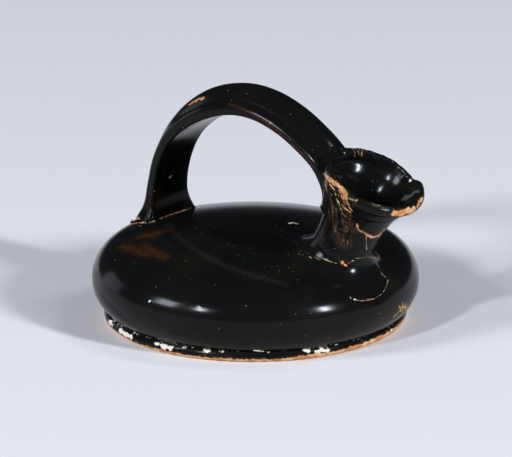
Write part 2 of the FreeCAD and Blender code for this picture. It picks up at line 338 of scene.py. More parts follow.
@dataclass
class WallGrid:
    """The vessel's wall as rows of points round the spout and, farther down, round the body.

    The rim's outlines hold distances from the spout's axis and depths below the mouth.
    """

    body: BodyForm
    spout: SpoutForm
    columns: int = 290
    fillet: float = 5.8
    neck_top: float = 7.0
    foot_radius: float = 41.7
    foot_edge: float = 1.1
    foot_height: float = 3.4
    foot_recess: float = 2.0
    foot_ring: float = 5.6
    floor_height: float = 5.4
    hub: float = 0.02
    front_lip: Pair = (-68.0, 62.0)
    strap_side: Pair = (166.0, 206.0)
    lip_waves: Waves = ((1.2, 17, 0.4), (0.8, 31, 1.9))
    rim_waves: Waves = ((0.10, 9, 0.3), (0.08, 23, 1.1), (0.05, 41, 2.0))
    wave_outwards: float = 0.6
    swell: float = 0.7
    swell_depth: float = 4.1
    swell_spread: float = 1.3
    swell_side: tuple[Pair, Pair] = ((105, 135), (205, 240))
    crest_depth: float = 0.8
    crest_spread: float = 1.2
    whole_rim: Outline = (
        (10.83, 3.63), (11.4, 2.2), (11.9, 1.1), (12.6, 0.3), (13.5, 0.0), (14.4, 0.25), (14.95, 1.05),
        (14.98, 1.9), (14.5, 2.8), (13.5, 3.5), (12.6, 4.1),
    )
    broken_rim: Outline = (
        (10.83, 3.63), (11.35, 2.3), (11.6, 1.5), (11.8, 0.9), (12.1, 0.55), (12.5, 0.62), (12.8, 0.95),
        (12.9, 1.6), (12.88, 2.3), (12.75, 3.0), (12.45, 3.9),
    )
    strap_rim: Outline = (
        (10.83, 3.7), (11.4, 3.0), (12.0, 2.4), (12.7, 1.9), (13.4, 1.55), (13.9, 1.4), (14.2, 1.6),
        (14.25, 2.1), (14.0, 2.8), (13.4, 3.5), (12.7, 4.3),
    )

    def __post_init__(self) -> None:
        """Lay out the columns' angles, which start at the spout's front, and their headings on the map."""
        self.angle = np.linspace(0, 2 * np.pi, self.columns, endpoint=False)
        self.heading = np.stack([np.cos(self.angle), np.sin(self.angle)], axis=-1)

    def rim_shares(self) -> tuple[Array, Array]:
        """Shares of the surviving lip and of the strap's junction in the rim's section, at each angle."""
        degrees = np.degrees(self.angle)
        ragged = np.where(degrees > 180, degrees - 360, degrees) + ripple(self.angle, self.lip_waves)
        start, end = self.front_lip
        lip = window(ragged, (start - 4, start + 2), (end - 5, end + 5))
        start, end = self.strap_side
        return lip, window(degrees, (start - 8, start + 8), (end - 8, end + 8))

    def rim_rows(self, count: int) -> Array:
        """Rows from the bowl over the rim to the neck, mixed from three sections by their shares.

        The whole lip is rounded and wide, the broken rim is narrow, and the strap's side slopes outwards.
        Behind the mouth the bowl swells a little, and small waves wear the crest of the broken rim.
        """
        in_bowl = ((self.spout.bowl_foot_radius, self.spout.bowl_depth), (10.0, 5.2))
        on_neck = ((12.0, 5.3), (11.35, self.neck_top))
        whole, broken, joined = (
            even_steps(smooth_through(np.array([*in_bowl, *stops, *on_neck]), 400), count)[:, None]
            for stops in (self.whole_rim, self.broken_rim, self.strap_rim)
        )
        lip, strap = (share[None, :, None] for share in self.rim_shares())
        section = whole * lip + joined * strap + broken * (1 - lip - strap)
        radius, depth = section[..., 0], section[..., 1]
        behind = window(np.degrees(self.angle)[None], *self.swell_side)
        inside = 1 - eased(np.linspace(0, 1, count)[:, None], 0.40, 0.48)
        radius = radius + self.swell * behind * inside * hump(depth, self.swell_depth, self.swell_spread)
        crest = hump(depth, self.crest_depth, self.crest_spread) * (1 - lip[..., 0] - strap[..., 0])
        worn = crest * ripple(self.angle, self.rim_waves)
        return self.spout.place(radius + self.wave_outwards * worn, self.angle, depth + worn)

    def tube_rows(self, radius_at: RadiusAt, start: Array | float, end: Array | float, count: int) -> Array:
        """Rows on the neck's outside or on the bore, between two depths that may change with the angle."""
        share = np.linspace(0, 1, count)[:, None]
        depth = start * (1 - share) + end * share
        return self.spout.place(radius_at(depth), self.angle, depth)

    def depth_where(self, radius_at: RadiusAt, gap: float, inset: float) -> Array:
        """Depth down the neck or the bore at which its wall comes within a gap of the body's surface."""
        depth = np.linspace(8, 36, 800)[:, None]
        near = self.body.distance(self.spout.place(radius_at(depth), self.angle, depth), inset) < gap
        return depth[np.argmax(near, axis=0), 0]

    def map_where(self, points: Array, inset: float) -> Array:
        """Map positions of points that lie on the upper body, found by their steepness over the waist."""
        x, y, z = np.moveaxis(self.body.lean_over(points, -1.0), -1, 0)
        out = np.hypot(x, y)
        section = self.body.upper_section(inset)
        steepness = np.degrees(np.arctan2(section[:, 1] - self.body.waist, section[:, 0]))
        wanted = np.degrees(np.arctan2(z - self.body.waist, out))
        share = np.interp(-wanted, -steepness, np.linspace(0, 1, len(section)))
        along = share * self.body.upper_length(inset)
        return np.stack([x, y], axis=-1) * (along / np.maximum(out, 1e-6))[..., None]

    def settle(self, points: Array) -> Array:
        """Move points onto the joined surface of neck and body: five steps of distance over slope."""
        def joined(at: Array) -> Array:
            """Distance out of neck and body together."""
            return union(self.spout.distance(at), self.body.distance(at), self.fillet)

        step = 0.01
        for _ in range(5):
            slope = np.stack([
                (joined(points + step * axis) - joined(points - step * axis)) / (2 * step)
                for axis in np.eye(3)
            ], axis=-1)
            scale = joined(points) / np.maximum((slope ** 2).sum(axis=-1), 0.05)
            points = points - slope * scale[..., None]
        return points

    def body_start(self) -> Array:
        """Map positions round the spout's foot at which the fillet runs out onto the body."""
        depth = np.linspace(20, 33, 300)
        axis = self.spout.place(0 * depth, 0 * depth, depth)
        centre = self.map_where(axis[np.argmin(np.abs(self.body.distance(axis)))], 0.0)
        reach = np.linspace(4, 26, 500)[:, None, None]
        plan = centre + reach * self.heading
        clear = self.spout.distance(self.body.mapped(plan, 0.0)) > self.fillet
        return plan[np.argmax(clear, axis=0), np.arange(self.columns)]

    def spread_rows(self, start: Array, inset: float, count: int, ease: float) -> Array:
        """Rows that widen on the map from a closed line round the spout to the circle of the waist."""
        waist = self.body.upper_length(inset) * self.heading
        share = (np.linspace(0, 1, count) ** ease)[:, None, None]
        return self.body.mapped(start * (1 - share) + waist * share, inset)

    def turned_rows(self, section: Array, leaning: bool) -> Array:
        """Rows turned about the body's axis from a half section."""
        turned = circles(section[:, :1], section[:, 1:], self.angle)
        return self.body.lean_over(turned) if leaning else turned

    def cavity_rows(self, bore_end: Array) -> Array:
        """Rows from the middle of the cavity's floor out, up and in to the lower end of the bore."""
        wall = self.body.wall
        side = self.body.lower_section(wall, self.floor_height, 9)
        floor = level_line(self.hub, side[-1, 0], self.floor_height, 7)[:-1]
        lower = self.turned_rows(np.concatenate([floor, side[::-1]]), leaning=True)
        bore_foot = self.tube_rows(self.spout.bore_wall, bore_end, self.spout.length, 2)[0]
        ceiling = self.spread_rows(self.map_where(bore_foot, wall), wall, 16, 1.0)
        return np.concatenate([lower, ceiling[::-1][1:]])

    def foot_section(self) -> Array:
        """Half section from the groove above the foot, round its edge and under it to the middle."""
        rest = self.foot_radius - self.foot_edge
        inner = self.foot_radius - self.foot_ring
        outside = smooth_through(np.array([
            (rest + 0.12, self.foot_height - 0.35), (rest + 0.45, self.foot_height - 0.5),
            (self.foot_radius - 0.25, self.foot_height - 1.0), (self.foot_radius - 0.05, 1.85),
            (self.foot_radius, 1.3), (self.foot_radius - 0.18, 0.65), (rest + 0.45, 0.2), (rest, 0.0),
        ]), 22)
        ring = level_line(rest, inner, 0.0, 6)[1:]
        recess = arc((inner - self.foot_recess, 0.0), self.foot_recess, 0, 90, 7)[1:]
        under = level_line(recess[-1, 0], self.hub, self.foot_recess, 9)[1:]
        return np.concatenate([outside, ring, recess, under])

    def grid(self) -> Array:
        """All rows in order, from the cavity up the bore, over the rim and down outside to under the foot."""
        outside, bore = self.spout.outer_radius, self.spout.bore_wall
        bore_end = self.depth_where(bore, 0.0, self.body.wall)
        neck_end = self.depth_where(outside, self.fillet, 0.0)
        neck = self.tube_rows(outside, self.neck_top, neck_end, 44)
        dome = self.spread_rows(self.body_start(), 0.0, 112, 1.15)
        corner = self.tube_rows(outside, self.depth_where(outside, 0.6, 0.0), neck_end, 2)[0]
        share = np.linspace(0, 1, 15)[1:-1, None, None]
        flare = bent(neck[-1], corner, dome[0], share)
        under = self.body.lower_section(0.0, self.foot_height + 0.15, 24)[1:]
        return np.concatenate([
            self.cavity_rows(bore_end),
            self.tube_rows(bore, bore_end, self.spout.bowl_depth, 24)[1:-1],
            self.rim_rows(54),
            neck[1:],
            self.settle(flare),
            self.settle(dome),
            self.turned_rows(under, leaning=True),
            self.turned_rows(self.foot_section(), leaning=False),
        ])


@dataclass
class HandleGrid:
    """The strap handle: a section, flat inside and crowned outside, carried along a path.

    A station holds the path's X and Z, the shares of the width and of the edge, and the crown's height.
    The bowl behind the strap is given by depths below the mouth and distances from the spout's axis.
    """

    body: BodyForm
    spout: SpoutForm
    width: float = 14.5
    edge: float = 2.8
    inner_round: float = 0.7
    outer_round: float = 1.0
    crown_inset: float = 1.6
    crown_rise: float = 0.25
    root_height: float = 6.5
    root_reach: float = 2.8
    root_curve: float = 1.8
    root_on_body: float = 0.9
    root_on_neck: float = 1.6
    neck_from: Pair = (3.5, 7.0)
    wall_cover: float = 0.7
    rim_cover: Pair = (14.1, 1.7)
    rows: int = 300
    stations: tuple[tuple[float, float, float, float, float], ...] = (
        (-36.0, 15.0, 1.30, 1.40, 3.0), (-32.6, 21.5, 1.20, 1.40, 2.8), (-31.3, 26.5, 1.07, 1.15, 2.5),
        (-30.6, 33.0, 1.00, 1.00, 2.3), (-28.6, 40.0, 1.00, 1.00, 2.5), (-24.8, 46.4, 1.00, 1.03, 3.1),
        (-19.0, 51.4, 1.00, 1.03, 4.2), (-11.5, 55.5, 1.00, 1.00, 4.9), (-3.0, 58.1, 1.00, 0.93, 4.9),
        (5.0, 58.3, 1.00, 0.86, 4.7), (13.0, 56.3, 1.00, 0.82, 4.4), (20.0, 52.9, 1.00, 0.82, 4.0),
        (25.8, 48.8, 0.98, 0.90, 3.6), (28.6, 44.4, 0.93, 1.00, 3.2), (29.7, 39.6, 0.84, 0.95, 2.6),
        (31.0, 35.0, 0.60, 0.80, 1.2), (32.0, 32.0, 0.30, 0.60, 0.3),
    )
    bowl_behind: Outline = (
        (1.0, 13.4), (1.4, 12.7), (2.0, 12.1), (2.75, 11.8), (3.63, 11.5), (4.6, 10.9), (6.6, 9.2),
    )

    def section(self, half: Array, edge: Array, crown: Array) -> tuple[Array, Array]:
        """Sideways place and height of one closed section per row.

        Half the section runs from the middle of the flat inner face, round the inner edge, up the
        side, round the outer edge and along the crown's arc. The other half is its mirror image.

        Args:
            half: Half widths, one per row.
            edge: Edge thicknesses, one per row.
            crown: Heights of the crown over the edge, one per row.

        Returns:
            Sideways places and heights, rows by points round the section.
        """
        half, edge, crown = (value[:, None] for value in (half, edge, crown))
        inner, outer = self.inner_round, self.outer_round
        crown_side = half - self.crown_inset
        crown_foot = edge + self.crown_rise * crown
        flat = np.linspace(0, 1, 15)[None, :-1]
        turn = np.radians(np.linspace(-90, 0, 6))[None]
        rise = np.linspace(0, 1, 4)[None, 1:-1]
        bend = np.linspace(0, 1, 8)[None]
        over = np.linspace(0, 1, 22)[None, 1:]
        arch = (crown_side ** 2 + (edge + crown - crown_foot) ** 2) / (2 * (edge + crown - crown_foot))
        arch_y = crown_side * (1 - over)
        place = np.concatenate([
            flat * (half - inner), half - inner + inner * np.cos(turn), half + 0 * rise,
            bent(half, half, crown_side, bend), arch_y,
        ], axis=1)
        height = np.concatenate([
            0 * flat + 0 * half, inner + inner * np.sin(turn) + 0 * half,
            inner + (edge - outer - inner) * rise, bent(edge - outer, edge + 0.1 * outer, crown_foot, bend),
            edge + crown - arch + np.sqrt(arch ** 2 - arch_y ** 2),
        ], axis=1)
        mirrored = slice(-2, 0, -1)
        place = np.concatenate([place, -place[:, mirrored]], axis=1)
        return place, np.concatenate([height, height[:, mirrored]], axis=1)

    def grid(self) -> Array:
        """The strap's surface: each section stands square to the path, outwards along the path's normal."""
        path = even_steps(smooth_through(np.array(self.stations), 1500), self.rows)
        along = unit(np.gradient(path[:, :2], axis=0))
        side, height = self.section(0.5 * self.width * path[:, 2], self.edge * path[:, 3], path[:, 4])
        points = np.stack([
            path[:, :1] - along[:, 1:] * height, side, path[:, 1:2] + along[:, :1] * height
        ], axis=-1)
        return self.kept_in_wall(self.flared(points))

    def flared(self, points: Array) -> Array:
        """Spread the strap's ends onto body and neck with a round root, wider on the inner face's foot."""
        normal = outward_normals(points)
        _, _, depth = self.spout.local(points)
        below_rim = eased(depth, *self.neck_from)
        facing_in = eased(normal[..., 0], 0.0, 0.9) * (points[..., 0] < 0)
        rising = 1 - np.clip(self.body.distance(points), 0, self.root_height) / self.root_height
        points = points + normal * (self.root_reach * facing_in * rising ** self.root_curve)[..., None]
        roots = ((self.body, self.root_on_body, 1.0), (self.spout, self.root_on_neck, below_rim))
        for form, root, where in roots:
            gap = np.clip(form.distance(points), 0, root)
            spread = root - np.sqrt(root ** 2 - (root - gap) ** 2)
            points = points + normal * (spread * where)[..., None]
        return points

    def kept_in_wall(self, points: Array) -> Array:
        """Hold the strap's upper end inside the spout's wall, so that nothing shows in the bowl."""
        radius, angle, depth = self.spout.local(points)
        rim_radius, rim_depth = self.rim_cover
        depth = np.where(radius < rim_radius, np.maximum(depth, rim_depth), depth)
        bowl = np.interp(depth, *np.array(self.bowl_behind).T)
        inner = np.where(depth < self.spout.bowl_depth, bowl, self.spout.bore_wall(depth)) + self.wall_cover
        return self.spout.place(np.maximum(radius, inner), angle, depth)


@dataclass(frozen=True)
class PhotoView:
    """The photograph's view: a long lens from the front right of the flask, a little above it."""

    elevation: float = 17.5
    azimuth: float = 41.0
    roll: float = 0.0056
    focal_px: float = 5000.0
    px_per_mm: float = 3.639
    picture_px: Pair = (512.0, 457.0)
    aim_px: Pair = (254.97, 245.3)
    aim_height: float = 20.0

    def axes(self) -> tuple[Array, Array, Array]:
        """Unit directions in the view: to the right, up, and towards the camera."""
        elevation, azimuth = math.radians(self.elevation), math.radians(self.azimuth)
        right = np.array([math.cos(azimuth), math.sin(azimuth), 0.0])
        level = math.cos(elevation)
        toward = np.array([math.sin(azimuth) * level, -math.cos(azimuth) * level, math.sin(elevation)])
        return right, np.cross(toward, right), toward

    def aim(self) -> Array:
        """The place on the flask's axis that the view is measured from."""
        return np.array([0.0, 0.0, self.aim_height])

    def eye(self) -> Array:
        """The camera's place."""
        return self.aim() + self.axes()[2] * self.focal_px / self.px_per_mm

    def seen(self, points: Array) -> tuple[Array, Array]:
        """Where points are seen: their offset from the aim times focal length over distance, then rolled.

        Args:
            points: Positions, with the last axis of length 3.

        Returns:
            Places in the picture, in pixels across and down, and how far each point is in front of the aim.
        """
        right, up, toward = self.axes()
        offset = points - self.aim()
        ahead = offset @ toward
        scale = self.focal_px / (self.focal_px / self.px_per_mm - ahead)
        across, upwards = offset @ right * scale, offset @ up * scale
        turned = across * math.cos(self.roll) - upwards * math.sin(self.roll)
        risen = across * math.sin(self.roll) + upwards * math.cos(self.roll)
        return np.stack([self.aim_px[0] + turned, self.aim_px[1] - risen], axis=-1), ahead


class MarkFinder:
    """Finds the surface points that are seen at places in the picture."""

    reach_px: float = 3.0
    layer: float = 3.0

    def __init__(self, view: PhotoView, grids: Iterable[Array]) -> None:
        """Keep the grids' points that face the camera, with their places in the picture."""
        both = [np.stack([grid, outward_normals(grid)], axis=-2).reshape(-1, 2, 3) for grid in grids]
        points, normals = np.moveaxis(np.concatenate(both), 1, 0)
        sight = view.eye() - points
        facing = (normals * sight).sum(axis=-1) > -0.02 * np.linalg.norm(sight, axis=-1)
        self.points = points[facing]
        self.places, self.ahead = view.seen(self.points)

    def on_surface(self, place: Pair) -> Array:
        """The point seen closest to a place, of those in the front layer within reach of it."""
        gap = np.hypot(self.places[:, 0] - place[0], self.places[:, 1] - place[1])
        close = np.nonzero(gap < self.reach_px)[0]
        front = close[self.ahead[close] > self.ahead[close].max() - self.layer]
        return self.points[front[np.argmin(gap[front])]]


@dataclass
class Mark:
    """One mark of wear or of painted reflection: a line through places on the surface, with a half width
    round it.
    """

    kind: WearAndReflection
    half_width: float
    places: Array
    step: float = 0.6
    catch: float = 1.5

    def line_on(self, points: Array) -> Array:
        """Evenly spaced places on the line, each moved to the nearest surface point within its catch."""
        line = self.places
        if len(line) > 1:
            length = np.linalg.norm(np.diff(line, axis=0), axis=1).sum()
            line = even_steps(line, max(2, math.ceil(length / self.step) + 1))
        flat = points[self.near(points, line, self.catch)]
        if len(flat) == 0:
            return line
        gap = np.linalg.norm(line[:, None] - flat[None], axis=-1)
        closest = np.argmin(gap, axis=1)
        found = gap[np.arange(len(line)), closest] < self.catch
        return np.where(found[:, None], flat[closest], line)

    @staticmethod
    def near(points: Array, line: Array, reach: float) -> Array:
        """Which points lie in the box round a line that is widened by a reach."""
        return np.all((points > line.min(axis=0) - reach) & (points < line.max(axis=0) + reach), axis=-1)

    def distance(self, points: Array, reach: float) -> Array:
        """Distance from points to the nearest place on the line, less the half width, up to a reach.

        Args:
            points: Positions on the surface, with the last axis of length 3.
            reach: The distance given to all points farther off.

        Returns:
            The distances, less than 0 inside the mark.
        """
        line = self.line_on(points)
        close = self.near(points, line, reach + self.half_width)
        chosen = points[close]
        nearest = np.linalg.norm(chosen - line[0], axis=-1)
        for first, second in zip(line[:-1], line[1:]):
            along = second - first
            share = np.clip((chosen - first) @ along / max(along @ along, 1e-9), 0, 1)
            offset = chosen - first - share[..., None] * along
            nearest = np.minimum(nearest, np.linalg.norm(offset, axis=-1))
        result = np.full(points.shape[:-1], reach)
        result[close] = np.minimum(nearest - self.half_width, reach)
        return result


# Marks of wear as they were placed on the photograph: half width in millimetres, then pixels.
# Two of them, the soft band and the grey-green sheen, are painted reflections.
STROKES: dict[WearAndReflection, tuple[tuple[float, Outline], ...]] = {
    WearAndReflection.PAINTED_BAND: (
        # Dome and side: a painted reflection, a soft lighter band across the dome.
        (0.5, ((166, 223), (178, 237), (196, 250), (222, 265), (252, 276), (285, 285))),
    ),
    WearAndReflection.BARE: (
        # Edge of the mouth on the near side, and down the neck.
        (0.62, ((323.3, 174.2), (327, 177.5), (331.5, 180.8), (337, 184.6), (341.3, 188), (343.6, 192),
                (345.3, 197.5))),
        (0.3, ((322.6, 178), (323.5, 184), (326, 190))),
        (0.22, ((341.5, 205), (345.5, 208.5), (349.5, 212))),
        (0.18, ((338.2, 186.5), (340.5, 193), (343.5, 199.5))),
        (0.16, ((346, 200.5), (349, 206), (351, 210.5))),
        # Lip and bowl of the mouth.
        (0.85, ((394.5, 214.2), (400, 213.2), (406, 212.2), (412, 210.6), (414, 209))),
        (0.4, ((417.3, 206.9), (420.3, 202.2), (422.3, 198.4))),
        # Front of the neck.
        (0.26, ((356.6, 224.2), (358.3, 230.5), (364.2, 233.4), (366.7, 235))),
        (0.32, ((366.9, 235.2), (372.5, 237), (379.5, 235.6), (384.2, 229.2))),
        # Foot of the neck, and the shoulder below it.
        (0.14, ((341, 262.5), (345, 264), (349.8, 263))),
        (0.18, ((369, 299),)),
        # Root of the strap.
        (0.2, ((134.5, 220.3), (138.5, 218.6))),
        # Strap.
        (0.32, ((189, 104.2), (194, 101.2), (199, 99), (203.5, 98.3))),
        (0.42, ((170.2, 176.6),)),
        (0.18, ((270.5, 123),)),
    ),
    WearAndReflection.CRACK: (
        # Edge of the mouth on the near side, and down the neck.
        (0.26, ((329.5, 184), (334, 190), (335.6, 195.5), (337.5, 202.5))),
        (0.12, ((336, 196), (339, 203), (341, 210))),
        (0.2, ((347.3, 197.6), (351.5, 199.6), (357.3, 200.6))),
        # Lip and bowl of the mouth.
        (0.07, ((371.7, 202.6), (376, 204.5), (380, 205.2), (388, 204.2))),
        (0.06, ((374, 204.8), (378, 206.6))),
        (0.05, ((383, 207.4), (386, 207.8))),
        # Front of the neck.
        (0.07, ((366.4, 236), (366.4, 243), (366.4, 250))),
        # Foot of the neck, and the shoulder below it.
        (0.06, ((298, 249.2), (300, 254.7), (310, 256.2), (318, 258.7), (325, 260.2), (337, 262.6))),
        (0.06, ((350.2, 262.3), (356.7, 258.5), (366.7, 257.6), (377.5, 258.7))),
        (0.04, ((377.5, 264), (380.5, 269), (381.7, 273), (386, 276.5), (389, 279.5))),
        (0.06, ((389, 279.5), (388, 286), (383.2, 293.8), (376, 298.6), (369, 299.4), (360, 300),
                (350, 298.2))),
    ),
    WearAndReflection.DEPOSIT: (
        # Lip and bowl of the mouth.
        (0.14, ((410.8, 180.8),)),
        (0.12, ((406.5, 177),)),
        # Foot of the neck, and the shoulder below it.
        (0.16, ((351, 297.5), (356, 299))),
        # Strap.
        (0.36, ((170.1, 177.2),)),
        (0.18, ((154, 191),)),
        # Dome and side.
        (0.42, ((288.8, 224), (292.5, 223.4), (296, 223.6))),
        (0.16, ((116, 260),)),
        (0.16, ((99, 269),)),
        (0.13, ((151, 301.5),)),
        (0.25, ((198, 306.3),)),
        (0.14, ((234, 315),)),
        # Groove above the foot.
        (0.55, ((109.5, 321.5), (112.5, 326))),
        (0.55, ((119.5, 330), (125, 333.5), (131, 337))),
        (0.4, ((156, 343.8), (160, 344.6))),
        (0.5, ((163.5, 346.6), (168, 347.6), (172.5, 348))),
        (0.35, ((205, 350.4), (209, 350.8))),
        (0.2, ((255, 350.5), (270, 350.8))),
        (0.28, ((303, 350.4), (309, 350.8))),
        (0.3, ((316, 350.9), (322, 350.6), (329, 350.2))),
        (0.2, ((362, 340), (363, 341))),
        (0.2, ((392, 329.5), (393, 328.5))),
    ),
    WearAndReflection.GOLD: (
        # Lip and bowl of the mouth.
        (0.09, ((354.2, 151.8), (355, 156.3))),
        (0.08, ((357.6, 151), (359, 154))),
        (0.12, ((361.6, 152.2), (362.4, 156))),
        # Dome and side.
        (0.2, ((399.5, 306), (400.5, 311))),
        (0.2, ((402.5, 303), (402.3, 311))),
        (0.2, ((405, 303), (404.3, 311))),
        (0.17, ((407.5, 304), (406.5, 309.5))),
        (0.14, ((397, 313.3), (400, 310.3))),
        (0.12, ((393, 317), (396, 314.4))),
    ),
    WearAndReflection.PITTED: (
        # Strap, shoulder, dome, bowl and neck.
        (4.0, ((262, 100), (285, 115), (305, 135), (322, 150))),
        (6.0, ((275, 222), (300, 235), (330, 245))),
        (4.0, ((235, 250), (265, 262), (290, 275))),
        (3.5, ((345, 170), (360, 185), (372, 192))),
        (2.5, ((330, 215), (345, 235), (352, 250))),
    ),
    WearAndReflection.REDDENED: (
        # Strap.
        (0.1, ((158.5, 188), (158, 205))),
        # Dome and side.
        (1.0, ((143, 236.5), (150, 235), (158, 232.5))),
        (0.2, ((124, 247), (136, 251), (150, 255))),
        (0.1, ((140, 245), (165, 257))),
    ),
    WearAndReflection.RUBBED: (
        # Lip and bowl of the mouth.
        (0.25, ((385, 213.5), (386.7, 218.3))),
        # Strap.
        (0.2, ((228, 104), (240, 108), (252, 113), (264, 120), (276, 130), (290, 142), (304, 156),
               (315, 169))),
    ),
    WearAndReflection.PAINTED_SHEEN: (
        # Lip and bowl of the mouth: a painted grey-green sheen.
        (0.7, ((404, 198.3), (410, 195.8), (416.5, 191.9))),
    ),
    WearAndReflection.STREAKED: (
        # Near side of the neck.
        (2.2, ((327, 190), (332, 205), (338, 222), (342, 240))),
        (1.6, ((341, 198), (346, 212), (350, 228))),
    ),
}


@dataclass
class WearAndReflectionMap:
    """Distances from every point of a surface to the outlines of its marks, less than 0 inside them.

    Each of the edge's rises holds its height, its angle round the foot and its spread.
    """

    marks: list[Mark]
    reach: float = 8.0
    chip_depth: float = 0.18
    crack_depth: float = 0.08
    deposit_rise: float = 0.12
    foot_inside: float = 35.0
    foot_top: float = 3.0
    edge_height: float = 0.98
    edge_waves: Waves = ((0.08, 5, 0.6), (0.05, 13, 2.2), (0.03, 29, 0.9))
    edge_rises: tuple[Triple, ...] = ((0.75, 0.1, 0.55), (0.5, -0.5, 0.09))
    groove_height: float = 3.05
    groove_waves: Waves = ((0.22, 7, 1.0), (0.16, 19, 0.2), (0.12, 43, 1.7))
    dust_gap: float = 0.15
    least_gap: float = 0.2
    seam_half_width: float = 0.26
    seam_waves: Waves = ((0.07, 2.1, 0.0), (0.05, 5.3, 1.0))
    hollow_sides: tuple[Pair, Pair] = ((-12.0, -9.0), (7.0, 9.5))
    hollow_front: float = 30.0
    hollow_side: float = 1.5
    hollow_height: float = 14.4
    hollow_curve: float = 0.035
    hollow_above: float = 3.4
    hollow_below: float = 1.1
    hollow_depth: float = 0.5

    def distances(self, grid: Array) -> dict[WearAndReflection, Array]:
        """The distance to each kind of mark, held to the reach.

        The worn edge of the foot counts as bare clay, and the dust in the groove above it as deposit.
        """
        fields = {kind: np.full(grid.shape[:-1], self.reach) for kind in WearAndReflection}
        found = [(mark.kind, mark.distance(grid, self.reach)) for mark in self.marks]
        turn = np.arctan2(grid[..., 1], grid[..., 0])
        on_foot = np.hypot(grid[..., 0], grid[..., 1]) > self.foot_inside
        worn_to = self.edge_height + ripple(turn, self.edge_waves)
        for height, middle, spread in self.edge_rises:
            worn_to = worn_to + height * hump(turn, middle, spread)
        edge = np.where(on_foot, grid[..., 2] - worn_to, self.reach)
        dust = np.abs(grid[..., 2] - self.groove_height) + self.dust_gap + ripple(turn, self.groove_waves)
        dust = np.where(on_foot, np.maximum(dust, self.least_gap), self.reach)
        for kind, distance in (*found, (WearAndReflection.BARE, edge), (WearAndReflection.DEPOSIT, dust)):
            fields[kind] = np.minimum(fields[kind], distance)
        return fields

    def seam(self, fields: dict[WearAndReflection, Array], gap: Array, grid: Array) -> None:
        """Mark the pale line where the strap's foot stands on the body, from its gap to the body."""
        half_width = self.seam_half_width + ripple(grid[..., 1], self.seam_waves)
        line = np.where(grid[..., 0] < 0, np.abs(gap) - half_width, self.reach)
        fields[WearAndReflection.CRACK] = np.minimum(fields[WearAndReflection.CRACK], line)

    def pressed(self, grid: Array) -> Array:
        """Depth of the hollow above the second crack on the shoulder, where the neck was pressed on."""
        across = grid[..., 1] + self.hollow_side
        rise = grid[..., 2] - (self.hollow_height + self.hollow_curve * across ** 2)
        profile = hump(rise, 0.0, np.where(rise > 0, self.hollow_above, self.hollow_below))
        in_front = grid[..., 0] > self.hollow_front
        return self.hollow_depth * profile * window(across, *self.hollow_sides) * in_front

    def carved(self, grid: Array, fields: dict[WearAndReflection, Array]) -> Array:
        """Sink chips and cracks below the glossed surface, and raise the deposits a little."""
        above_foot = grid[..., 2] > self.foot_top
        depth = self.chip_depth * (1 - eased(fields[WearAndReflection.BARE], -0.35, 0.05)) * above_foot
        depth = depth + self.crack_depth * (1 - eased(fields[WearAndReflection.CRACK], -0.05, 0.15))
        depth = depth - self.deposit_rise * (1 - eased(fields[WearAndReflection.DEPOSIT], -0.3, 0.1))
        return grid - outward_normals(grid) * (depth + self.pressed(grid))[..., None]


def outward_normals(grid: Array) -> Array:
    """Unit normals that point out of a grid that closes on itself across its columns.

    Each is the cross product of the steps to the next column and the next row. Their common sign is
    the one that makes the enclosed volume positive.
    """
    after = np.roll(grid, -1, axis=1)
    normal = unit(np.cross(after - np.roll(grid, 1, axis=1), np.gradient(grid, axis=0)))
    patch = np.cross(grid[1:] - grid[:-1], after[:-1] - grid[:-1])
    return normal * np.sign((patch * grid[:-1]).sum()) * np.sign((patch * normal[:-1]).sum())


def tube_faces(rows: int, columns: int) -> Array:
    """Corner numbers of the four-sided faces of a grid whose columns close on themselves."""
    corner = np.arange(rows * columns).reshape(rows, columns)
    after = np.roll(corner, -1, axis=1)
    return np.stack([corner[:-1], corner[1:], after[1:], after[:-1]], axis=-1).reshape(-1, 4)


def closed_mesh(name: str, grid: Array, fields: dict[WearAndReflection, Array]) -> bpy.types.Object:
    """A smooth closed mesh from a grid whose first and last rows are closed by one face each.

    Args:
        name: Name of the object and its mesh.
        grid: Positions in millimetres, rows by columns by three.
        fields: Distances to the marks of wear, kept as one attribute each.

    Returns:
        The object, at the origin.
    """
    rows, columns = grid.shape[:2]
    points = grid.reshape(-1, 3) * MM
    faces = tube_faces(rows, columns)
    last = (rows - 1) * columns
    caps = [np.arange(columns), last + np.arange(columns)[::-1]]
    corners = np.concatenate([faces.ravel(), *caps]).astype(np.int32)
    sizes = np.concatenate([np.full(len(faces), 4), [columns, columns]])
    starts = np.concatenate([[0], np.cumsum(sizes)[:-1]]).astype(np.int32)
    mesh = bpy.data.meshes.new(name)
    mesh.vertices.add(len(points))
    mesh.vertices.foreach_set("co", points.astype(np.float32).ravel())
    mesh.loops.add(len(corners))
    mesh.loops.foreach_set("vertex_index", corners)
    mesh.polygons.add(len(starts))
    mesh.polygons.foreach_set("loop_start", starts)
    mesh.update(calc_edges=True)
    mesh.polygons.foreach_set("use_smooth", np.ones(len(starts), dtype=bool))
    for kind, distance in fields.items():
        layer = mesh.attributes.new(kind.value, "FLOAT", "POINT")
        layer.data.foreach_set("value", distance.astype(np.float32).ravel())
    return linked(name, mesh)


def linked(name: str, data: bpy.types.ID) -> bpy.types.Object:
    """An object made from mesh, lamp or camera data and linked to the scene."""
    made = bpy.data.objects.new(name, data)
    bpy.context.scene.collection.objects.link(made)
    return made


def aimed(made: bpy.types.Object, position: Array, back: Array, side: Array) -> None:
    """Put a lamp or camera at a position in metres, facing away from its back, with a side direction."""
    rows = np.stack([side, np.cross(back, side), back, position], axis=-1)
    made.matrix_world = Matrix([*rows.tolist(), (0, 0, 0, 1)])


